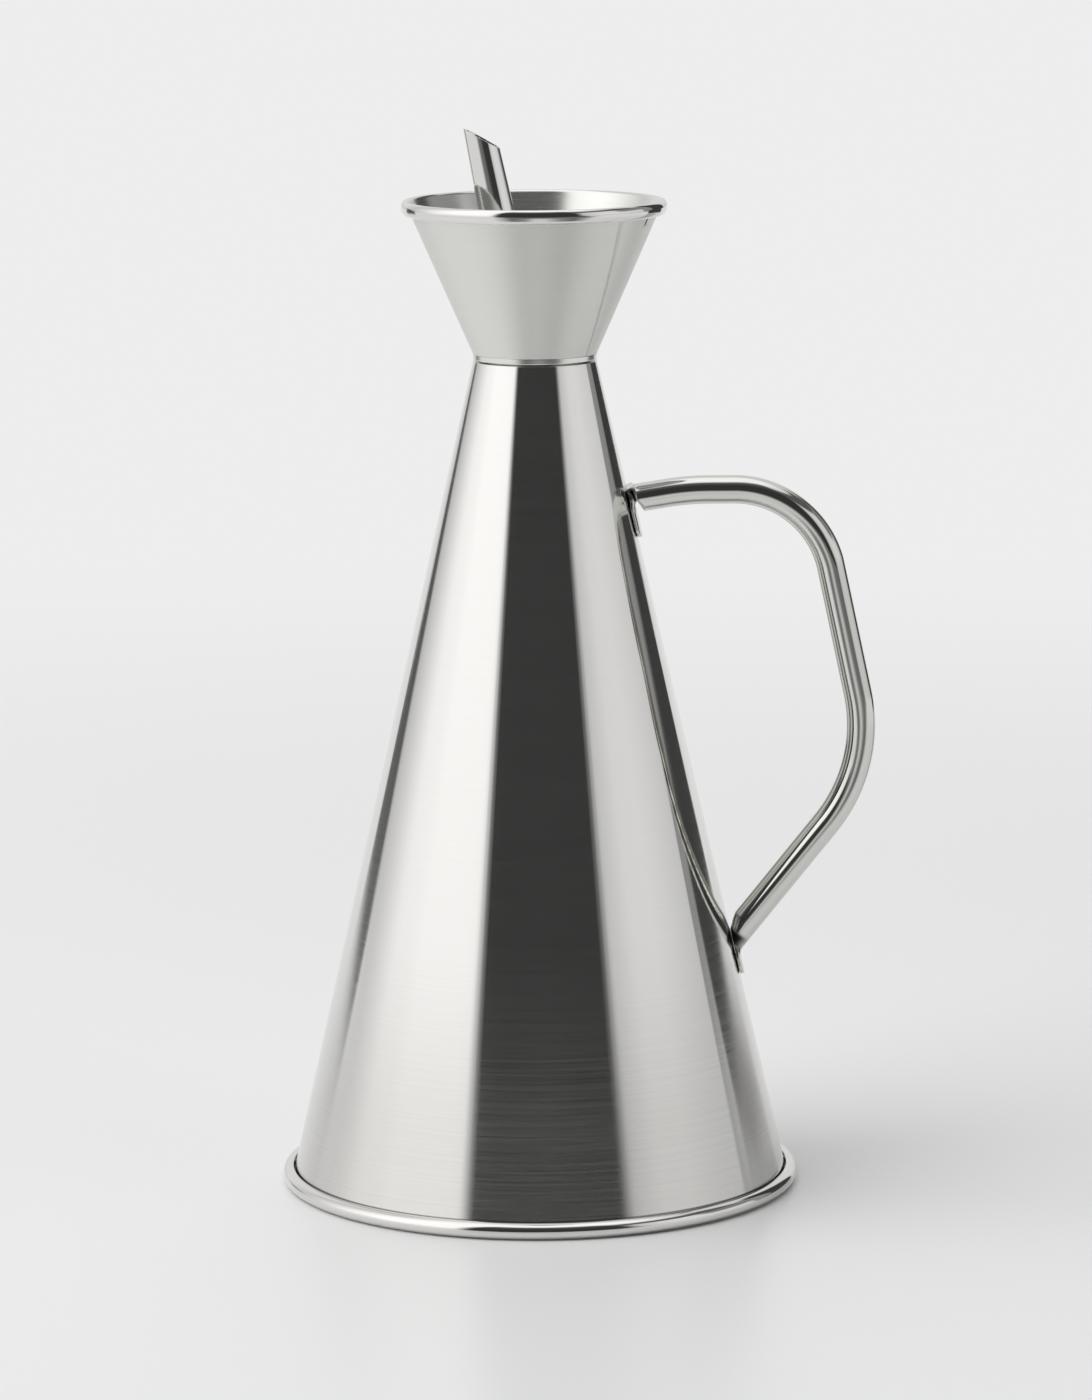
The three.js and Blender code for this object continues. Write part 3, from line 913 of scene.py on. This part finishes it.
def seam_shares(tree, place):
    """1 along the funnel's welded seam, and 1 in the painted shade of the notch under its rim."""
    x, y, height = parts_of(tree, place)
    azimuth = azimuth_of(tree, x, y)
    feeds = {"Value": height, "From Min": FUNNEL_FOOT * MM, "From Max": RIM_HEIGHT * MM}
    feeds.update({"To Min": SEAM_AZIMUTH, "To Max": SEAM_AZIMUTH + SEAM_TWIST})
    off = calc(tree, "SUBTRACT", azimuth, add(tree, "ShaderNodeMapRange", feeds))
    seam = rise(tree, calc(tree, "ABSOLUTE", off), SEAM_HALF_WIDTH, SEAM_FULL)
    lap_off = calc(tree, "ABSOLUTE", calc(tree, "SUBTRACT", azimuth, LAP_SHADE_AZIMUTH))
    lap = rise(tree, lap_off, LAP_SHADE_HALF_WIDTH, LAP_SHADE_FULL)
    high = rise(tree, height, (RIM_HEIGHT - LAP_SHADE_FROM) * MM, (RIM_HEIGHT - LAP_SHADE_TO) * MM)
    return seam, product(tree, lap, high)


def satin_funnel():
    """Brushed wall with a ground seam and painted shade in the notch under the rim."""
    material, tree, shader = new_finish("satin_funnel", SATIN_STEEL, SATIN_BRUSHING)
    place = object_place(tree)
    streaks = grain(tree, place, SATIN_STREAKS)
    feed(tree, shader.inputs["Roughness"], between(tree, streaks, *FUNNEL_SATIN))
    seam, lap = seam_shares(tree, place)
    ground = tinted(tree, product(tree, seam, SEAM_TINT), (*SATIN_STEEL, 1), (*SEAM_STEEL, 1))
    feed(tree, shader.inputs["Base Color"], tinted(tree, lap, ground, (*PAINTED_SHADE, 1)))
    relief = calc(tree, "SUBTRACT", product(tree, streaks, SATIN_DEPTH_SHARE), seam)
    bumped(tree, shader, relief, SEAM_DEPTH)
    return material


def satin_inside():
    material, tree, shader = new_finish("satin_inside", SATIN_STEEL, SATIN_BRUSHING)
    streaks = grain(tree, object_place(tree), SATIN_STREAKS)
    feed(tree, shader.inputs["Roughness"], between(tree, streaks, *INSIDE_SATIN))
    return material


# Pieces


def dress(piece, body, node):
    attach(piece, body)
    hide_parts(node)


def make_pieces():
    turning = turning_tree()
    roll = polished_roll()
    inside = satin_inside()

    def turned(name, outline, finish, steps=TURN_STEPS, **others):
        finishes = dict.fromkeys(("Finish", "Inside Finish", "Rim Finish"), finish)
        closing = 1 if outline[0][0] else 0
        sizes = {"Steps": steps, "Closing": closing, **finishes, **others}
        return shaped(name, outline, turning, sizes)

    dress(turned("polished_body", cone_outline(), polished_cone()), "jug", "body_cone")
    dress(turned("seamed_base", base_outline(), roll), "jug", "base_disc")
    dress(turned("neck_sleeve", neck_outline(), inside), "jug", "neck_ring")
    dress(turned("plug_flange", collar_outline(), inside), "plug", "plug_collar")
    sides = {
        "Inside Finish": inside,
        "Rim Finish": roll,
        "Rim Height": (RIM_HEIGHT - RIM_HALF_HEIGHT) * MM,
        "Rim Radius": (RIM_RADIUS - RIM_POLISH_WIDTH) * MM,
    }
    funnel = turned("rolled_funnel", funnel_outline(), satin_funnel(), **sides)
    dress(funnel, "funnel", "funnel_cup")

    slant = {
        "Slant": -math.tan(math.radians(SPOUT_BEVEL)),
        "Slant From": BEVEL_FROM * SPOUT_LENGTH * MM,
        "Slant To": BEVEL_FULL * SPOUT_LENGTH * MM,
    }
    spout = turned("pouring_spout", spout_outline(), drawn_spout(), SPOUT_STEPS, **slant)
    lean = Matrix.Rotation(-math.radians(SPOUT_LEAN), 4, "Y")
    spout.data.transform(Matrix.Translation((-SPOUT_OFFSET * MM, 0, SPOUT_FOOT_HEIGHT * MM)) @ lean)
    dress(spout, "funnel", "spout_tube")

    dress(make_handle(drawn_handle()), "jug", "handle_tube")

    floor_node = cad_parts["funnel_floor"]
    floor_node.data.materials.clear()
    floor_node.data.materials.append(inside)


# Studio

FLOOR_TONE = 0.815
BACKDROP_TONE = 0.85
FAR_FRONT_SHARE = 0.22  # of the floor's brightness that the steel sees far in front
FAR_BACK_SHARE = 0.06  # and in the painted shade below the flags
FRONT_LEFT = -35.0
FRONT_RIGHT = 41.5
FRONT_LOW_SPREAD = 6.0  # how much further right the dark front reaches near the horizon
LOW_SHARE = 0.85  # of the sides' brightness, at the horizon
LOW_LEFT_SHARE = 0.86  # and low to the left of the dark front
GAP_TONE = 0.12
FLAG_TONE = 0.05
FLAG_BORDER_TONE = 0.3  # of the flag's dim border, next to the handle's reflection in the cone
# Zones are azimuths or elevations from and to, with the softness of their edges. Fades run from 0 to 1.
HORIZON_FADE = (0, 9)
LOW_LEFT_ZONE = (-88, -30, 24)
LOW_LEFT_FADE = (19, 6)
HIGH_GAP_SIDES = (40, 124, 8)
HIGH_GAP_HEIGHTS = (36, 54, 6)
RIGHT_GAP_SIDES = (82, 124, 12)
RIGHT_GAP_HEIGHTS = (19, 45, 6)
RIGHT_GAP_SHARE = 0.8
OVERHEAD_FADE = (55, 72)
OVERHEAD_TONE = 1.25
FRONT_SPREAD_FADE = (7, 1)
FRONT_SOFT = 9
RIGHT_FLAG_LOW = (2.5, 117.0)  # elevation and azimuth of the lower end of its leaning edge
RIGHT_FLAG_HIGH = (5.0, 124.5)
RIGHT_FLAG_END = 149
RIGHT_FLAG_SOFT = 2
RIGHT_FLAG_FADE = (42, 36)
FLAG_BORDER_ZONE = (110, 149, 2)
FLAG_BORDER_FADE = (30, 15)
LEFT_FLAG_LEAN = 1.7  # azimuth to elevation
LEFT_FLAG_ZONE = (-141, -127.5, 3)
LEFT_FLAG_FADE = (4, 3)
LEFT_FLAG_SHARE = 0.92

# Fades on the floor run over distances in metres
FLOOR_HALF = 8.0
FLOOR_ROUGHNESS = 0.32
FLOOR_GLOSS = 0.25
GLOW_FADE = (0.25, 0.95)
STRIPES_FADE = (0.16, 0.3)
FAR_FRONT_ZONE = (-24, 52, 18)
FAR_FRONT_FADE = (0.45, 1.6)
FAR_RIGHT_ZONE = (116, 143, 2.5)
FAR_RIGHT_FADE = (0.7, 1.25)
# painted shadow of the jug on the floor, behind it to the right, which only glossy rays see
NEAR_RIGHT_FROM = (114.5, 116.5)
NEAR_RIGHT_TO = (141, 126)
NEAR_RIGHT_FADE = (0.12, 0.3)
NEAR_RIGHT_SHARE = 0.45
FAR_LEFT_ZONE = (-144, -125, 3)
FAR_LEFT_FADE = (0.5, 1.6)
FAR_LEFT_SHARE = 0.9

LAMP_PLACE = (-0.9, -0.3, 1.3)
LAMP_AIM = (0, 0, 0.1)
LAMP_SIZE = 1.5
LAMP_POWER = 10

SIDE_TONES = (  # azimuth from the photograph's side towards the handle, brightness
    (-180, 0.8),
    (-150, 0.85),
    (-130, 0.68),
    (-112, 0.92),
    (-94, 1.2),
    (-76, 1.38),
    (-44, 1.3),
    (38, 0.6),
    (46, 0.7),
    (60, 0.86),
    (76, 0.88),
    (110, 0.76),
    (180, 0.8),
)
FRONT_TONES = (  # elevation, brightness of the dark front
    (0, 0.042),
    (36, 0.042),
    (50, 0.09),
    (60, 0.16),
    (71, 1.2),
    (90, 1.4),
)
FLOOR_TONES = (  # azimuth, share of the floor's brightness that the steel sees in front
    (-180, 1.0),
    (-36, 1.0),
    (-27, 0.6),
    (-19, 0.2),
    (-7, 0.4),
    (0, 0.95),
    (9, 0.95),
    (17, 0.6),
    (24, 0.35),
    (36, 0.2),
    (43, 0.5),
    (52, 1.0),
    (180, 1.0),
)


def window(tree, value, low, high, soft):
    """1 between low and high, 0 outside, over soft edges."""
    opening = rise(tree, calc(tree, "SUBTRACT", value, low), -soft / 2, soft / 2)
    closing = rise(tree, calc(tree, "SUBTRACT", high, value), -soft / 2, soft / 2)
    return product(tree, opening, closing)


def tones(tree, value, low, high, stops):
    """Grey by a value from low to high, through (value, brightness) stops."""
    share = add(tree, "ShaderNodeMapRange", {"Value": value, "From Min": low, "From Max": high})
    ramp = add(tree, "ShaderNodeValToRGB", {"Fac": share}).node
    elements = ramp.color_ramp.elements
    while len(elements) < len(stops):
        elements.new(0.5)
    for element, (place, tone) in zip(elements, stops):
        element.position = (place - low) / (high - low)
        element.color = (tone, tone, tone, 1)
    return add(tree, "ShaderNodeSeparateColor", {"Color": ramp.outputs["Color"]})


def mixed(tree, share, one, other):
    """one where share is 0, other where it is 1."""
    feeds = {"Factor": share, "A": one, "B": other}
    return add(tree, "ShaderNodeMix", feeds, out="Result", data_type="FLOAT")


def make_world():
    """Pale surroundings with a dark front, a bright left side and dark flags behind, for the steel."""
    world = bpy.data.worlds.new("studio")
    bpy.context.scene.world = world
    world.use_nodes = True
    tree = world.node_tree
    x, y, z = parts_of(tree, add(tree, "ShaderNodeTexCoord", out="Generated"))
    azimuth = azimuth_of(tree, x, y)
    elevation = calc(tree, "DEGREES", calc(tree, "ARCSINE", z))

    def zone(around, fade):
        return product(tree, window(tree, azimuth, *around), rise(tree, elevation, *fade))

    def gap_between(heights, around):
        return product(tree, window(tree, elevation, *heights), window(tree, azimuth, *around))

    lowered = blend_of(tree, rise(tree, elevation, *HORIZON_FADE), LOW_SHARE, 1.0)
    low_left = blend_of(tree, zone(LOW_LEFT_ZONE, LOW_LEFT_FADE), 1.0, LOW_LEFT_SHARE)
    sides = product(tree, tones(tree, azimuth, -180, 180, SIDE_TONES), lowered, low_left)
    right_gap = product(tree, gap_between(RIGHT_GAP_HEIGHTS, RIGHT_GAP_SIDES), RIGHT_GAP_SHARE)
    gap = calc(tree, "MAXIMUM", gap_between(HIGH_GAP_HEIGHTS, HIGH_GAP_SIDES), right_gap)
    overhead = rise(tree, elevation, *OVERHEAD_FADE)
    above = mixed(tree, overhead, mixed(tree, gap, sides, GAP_TONE), OVERHEAD_TONE)
    spread = product(tree, rise(tree, elevation, *FRONT_SPREAD_FADE), FRONT_LOW_SPREAD)
    front = window(tree, azimuth, FRONT_LEFT, calc(tree, "ADD", spread, FRONT_RIGHT), FRONT_SOFT)
    with_front = mixed(tree, front, above, tones(tree, elevation, 0, 90, FRONT_TONES))
    with_border = mixed(tree, zone(FLAG_BORDER_ZONE, FLAG_BORDER_FADE), with_front, FLAG_BORDER_TONE)
    feeds = {"Value": elevation, "From Min": RIGHT_FLAG_LOW[0], "From Max": RIGHT_FLAG_HIGH[0]}
    feeds.update({"To Min": RIGHT_FLAG_LOW[1], "To Max": RIGHT_FLAG_HIGH[1]})
    flag_edge = add(tree, "ShaderNodeMapRange", feeds)
    right_flag = zone((flag_edge, RIGHT_FLAG_END, RIGHT_FLAG_SOFT), RIGHT_FLAG_FADE)
    leaning = calc(tree, "ADD", azimuth, product(tree, elevation, LEFT_FLAG_LEAN))
    left_flag = product(tree, window(tree, leaning, *LEFT_FLAG_ZONE), rise(tree, elevation, *LEFT_FLAG_FADE))
    flags = calc(tree, "MAXIMUM", right_flag, product(tree, left_flag, LEFT_FLAG_SHARE))
    tone = mixed(tree, flags, with_border, FLAG_TONE)
    seen = add(tree, "ShaderNodeLightPath", out="Is Camera Ray")
    feed(tree, tree.nodes["Background"].inputs["Color"], mixed(tree, seen, tone, BACKDROP_TONE))


def make_floor():
    """Pale floor that fades into the backdrop. Glossy rays see painted shade on it: dim towards the dark
    front and below the flags, with a painted shadow of the jug behind it to the right.
    """
    mesh = bpy.data.meshes.new("floor")
    corners = [(x * FLOOR_HALF, y * FLOOR_HALF, 0) for x, y in ((-1, -1), (1, -1), (1, 1), (-1, 1))]
    mesh.from_pydata(corners, [], [(0, 1, 2, 3)])
    floor = bpy.data.objects.new("floor", mesh)
    bpy.context.scene.collection.objects.link(floor)
    material = bpy.data.materials.new("pale_floor")
    material.use_nodes = True
    mesh.materials.append(material)
    tree = material.node_tree
    shader = tree.nodes["Principled BSDF"]
    x, y, _ = parts_of(tree, object_place(tree))
    distance = length_of(tree, x, y)
    azimuth = azimuth_of(tree, x, y)

    def zone(around, fade):
        return product(tree, rise(tree, distance, *fade), window(tree, azimuth, *around))

    striped = tones(tree, azimuth, -180, 180, FLOOR_TONES)
    stripes = mixed(tree, rise(tree, distance, *STRIPES_FADE), 1.0, striped)
    far_front = zone(FAR_FRONT_ZONE, FAR_FRONT_FADE)
    far_right = zone(FAR_RIGHT_ZONE, FAR_RIGHT_FADE)
    near_sides = product(tree, rise(tree, azimuth, *NEAR_RIGHT_FROM), rise(tree, azimuth, *NEAR_RIGHT_TO))
    near_right = product(tree, near_sides, rise(tree, distance, *NEAR_RIGHT_FADE), NEAR_RIGHT_SHARE)
    far_left = product(tree, zone(FAR_LEFT_ZONE, FAR_LEFT_FADE), FAR_LEFT_SHARE)
    far_back = calc(tree, "MAXIMUM", calc(tree, "MAXIMUM", far_right, far_left), near_right)
    in_front = mixed(tree, far_front, stripes, FAR_FRONT_SHARE)
    dimmed = mixed(tree, far_back, in_front, FAR_BACK_SHARE)
    path = add(tree, "ShaderNodeLightPath").node.outputs
    # painted shade and shadow that only glossy rays see
    look = mixed(tree, path["Is Glossy Ray"], 1.0, dimmed)
    feed(tree, shader.inputs["Base Color"], product(tree, look, FLOOR_TONE))
    shader.inputs["Roughness"].default_value = FLOOR_ROUGHNESS
    shader.inputs["Specular IOR Level"].default_value = FLOOR_GLOSS
    glow = add(tree, "ShaderNodeEmission", {"Strength": product(tree, look, BACKDROP_TONE)})
    seen = calc(tree, "MAXIMUM", path["Is Camera Ray"], path["Is Glossy Ray"])
    share = product(tree, rise(tree, distance, *GLOW_FADE), seen)
    surface = add(tree, "ShaderNodeMixShader", {"Fac": share, 1: shader.outputs[0], 2: glow})
    feed(tree, tree.nodes["Material Output"].inputs["Surface"], surface)


def make_lamp():
    light = bpy.data.lights.new("top_left_softbox", "AREA")
    light.shape = "SQUARE"
    light.size = LAMP_SIZE
    light.energy = LAMP_POWER
    lamp = bpy.data.objects.new("top_left_softbox", light)
    lamp.location = LAMP_PLACE
    aim = Vector(LAMP_AIM) - Vector(LAMP_PLACE)
    lamp.rotation_euler = aim.to_track_quat("-Z", "Y").to_euler()
    lamp.visible_glossy = False
    bpy.context.scene.collection.objects.link(lamp)


def make_camera():
    data = bpy.data.cameras.new("camera")
    data.sensor_width = SENSOR
    data.lens = FOCAL_PIXELS / PHOTO_HEIGHT * SENSOR
    camera = bpy.data.objects.new("camera", data)
    turn = Matrix.Rotation(math.radians(CAMERA_YAW), 4, "Z")
    tip = Matrix.Rotation(math.radians(90 - CAMERA_PITCH), 4, "X")
    roll = Matrix.Rotation(math.radians(CAMERA_ROLL), 4, "Z")
    camera.matrix_world = Matrix.Translation(Vector(CAMERA_PLACE) * MM) @ turn @ tip @ roll
    bpy.context.scene.collection.objects.link(camera)
    bpy.context.scene.camera = camera


make_camera()
make_pieces()
make_world()
make_floor()
make_lamp()
bpy.context.scene.view_settings.view_transform = "Standard"
